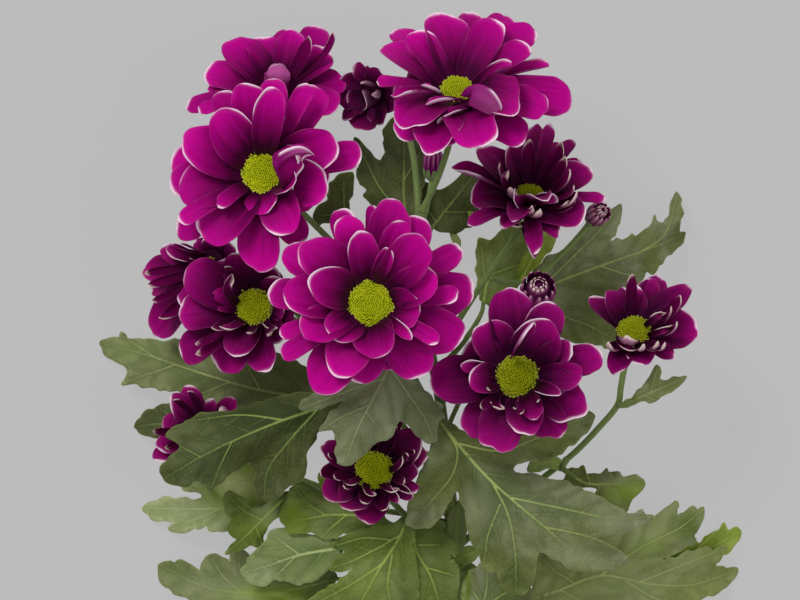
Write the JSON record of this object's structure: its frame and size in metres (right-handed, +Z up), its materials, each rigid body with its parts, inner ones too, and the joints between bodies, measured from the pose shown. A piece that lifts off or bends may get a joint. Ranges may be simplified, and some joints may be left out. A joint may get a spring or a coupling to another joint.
{
  "type": "alamos chrysanthemum",
  "caption": "Cut spray chrysanthemum lying on its back: branching green stem, magenta daisy heads with yellow-green discs, buds and lobed leaves.",
  "frame": {"origin": "centre of the underside of the bounding box, on the surface the spray lies on", "axes": "+Y along the stem from its cut end to the flowers, +Z up from the surface towards the viewer, +X to the right as the flowers are seen from above"},
  "size_m": [0.2246, 0.4416, 0.1205],
  "materials": {
    "petal": "matte, satin sheen, pale edge",
    "petal_deep": "matte, satin sheen, pale edge",
    "petal_dark": "matte, satin sheen",
    "disc": "granular, matte",
    "bud": "matte",
    "main_stem": "satin, finely ribbed",
    "stalk": "satin",
    "leaf": "matte, felted",
    "leaf_dark": "matte, felted",
    "leaf_light": "matte, felted"
  },
  "bodies": {
    "root": {"main_stem": "main_stem", "head_06_rays": "petal", "head_06_disc": "disc", "head_02_rays": "petal", "head_02_disc": "disc", "head_09_rays": "petal_deep", "head_09_disc": "disc", "head_03_rays": "petal", "head_03_disc": "disc", "head_11_rays": "petal_deep", "head_11_disc": "disc", "head_05_rays": "petal", "head_05_disc": "disc", "head_07_rays": "petal", "head_07_disc": "disc", "head_10_rays": "petal", "head_10_disc": "disc", "head_04_rays": "petal_dark", "head_01_rays": "petal", "head_01_disc": "disc", "head_08_rays": "petal", "head_12_rays": "petal_deep", "head_06_stalk": "stalk", "head_02_stalk": "stalk", "head_09_stalk": "stalk", "head_03_stalk": "stalk", "head_11_stalk": "stalk", "head_05_stalk": "stalk", "head_07_stalk": "stalk", "head_10_stalk": "stalk", "head_04_stalk": "stalk", "head_01_stalk": "stalk", "head_08_stalk": "stalk", "head_12_stalk": "stalk", "bud_13": "bud", "bud_14": "bud", "bud_15": "bud", "leaf_01": "leaf_light", "leaf_02": "leaf_dark", "leaf_03": "leaf_dark", "leaf_04": "leaf", "leaf_05": "leaf", "leaf_06": "leaf_light", "leaf_07": "leaf_light", "leaf_08": "leaf", "leaf_09": "leaf", "leaf_10": "leaf", "leaf_11": "leaf_dark", "leaf_12": "leaf_dark", "leaf_13": "leaf", "leaf_14": "leaf_light", "leaf_15": "leaf_light", "leaf_16": "leaf_light", "leaf_17": "leaf_light", "leaf_18": "leaf_light", "leaf_19": "leaf", "leaf_20": "leaf_dark", "leaf_21": "leaf", "leaf_22": "leaf", "leaf_24": "leaf"}
  },
  "joints": []
}
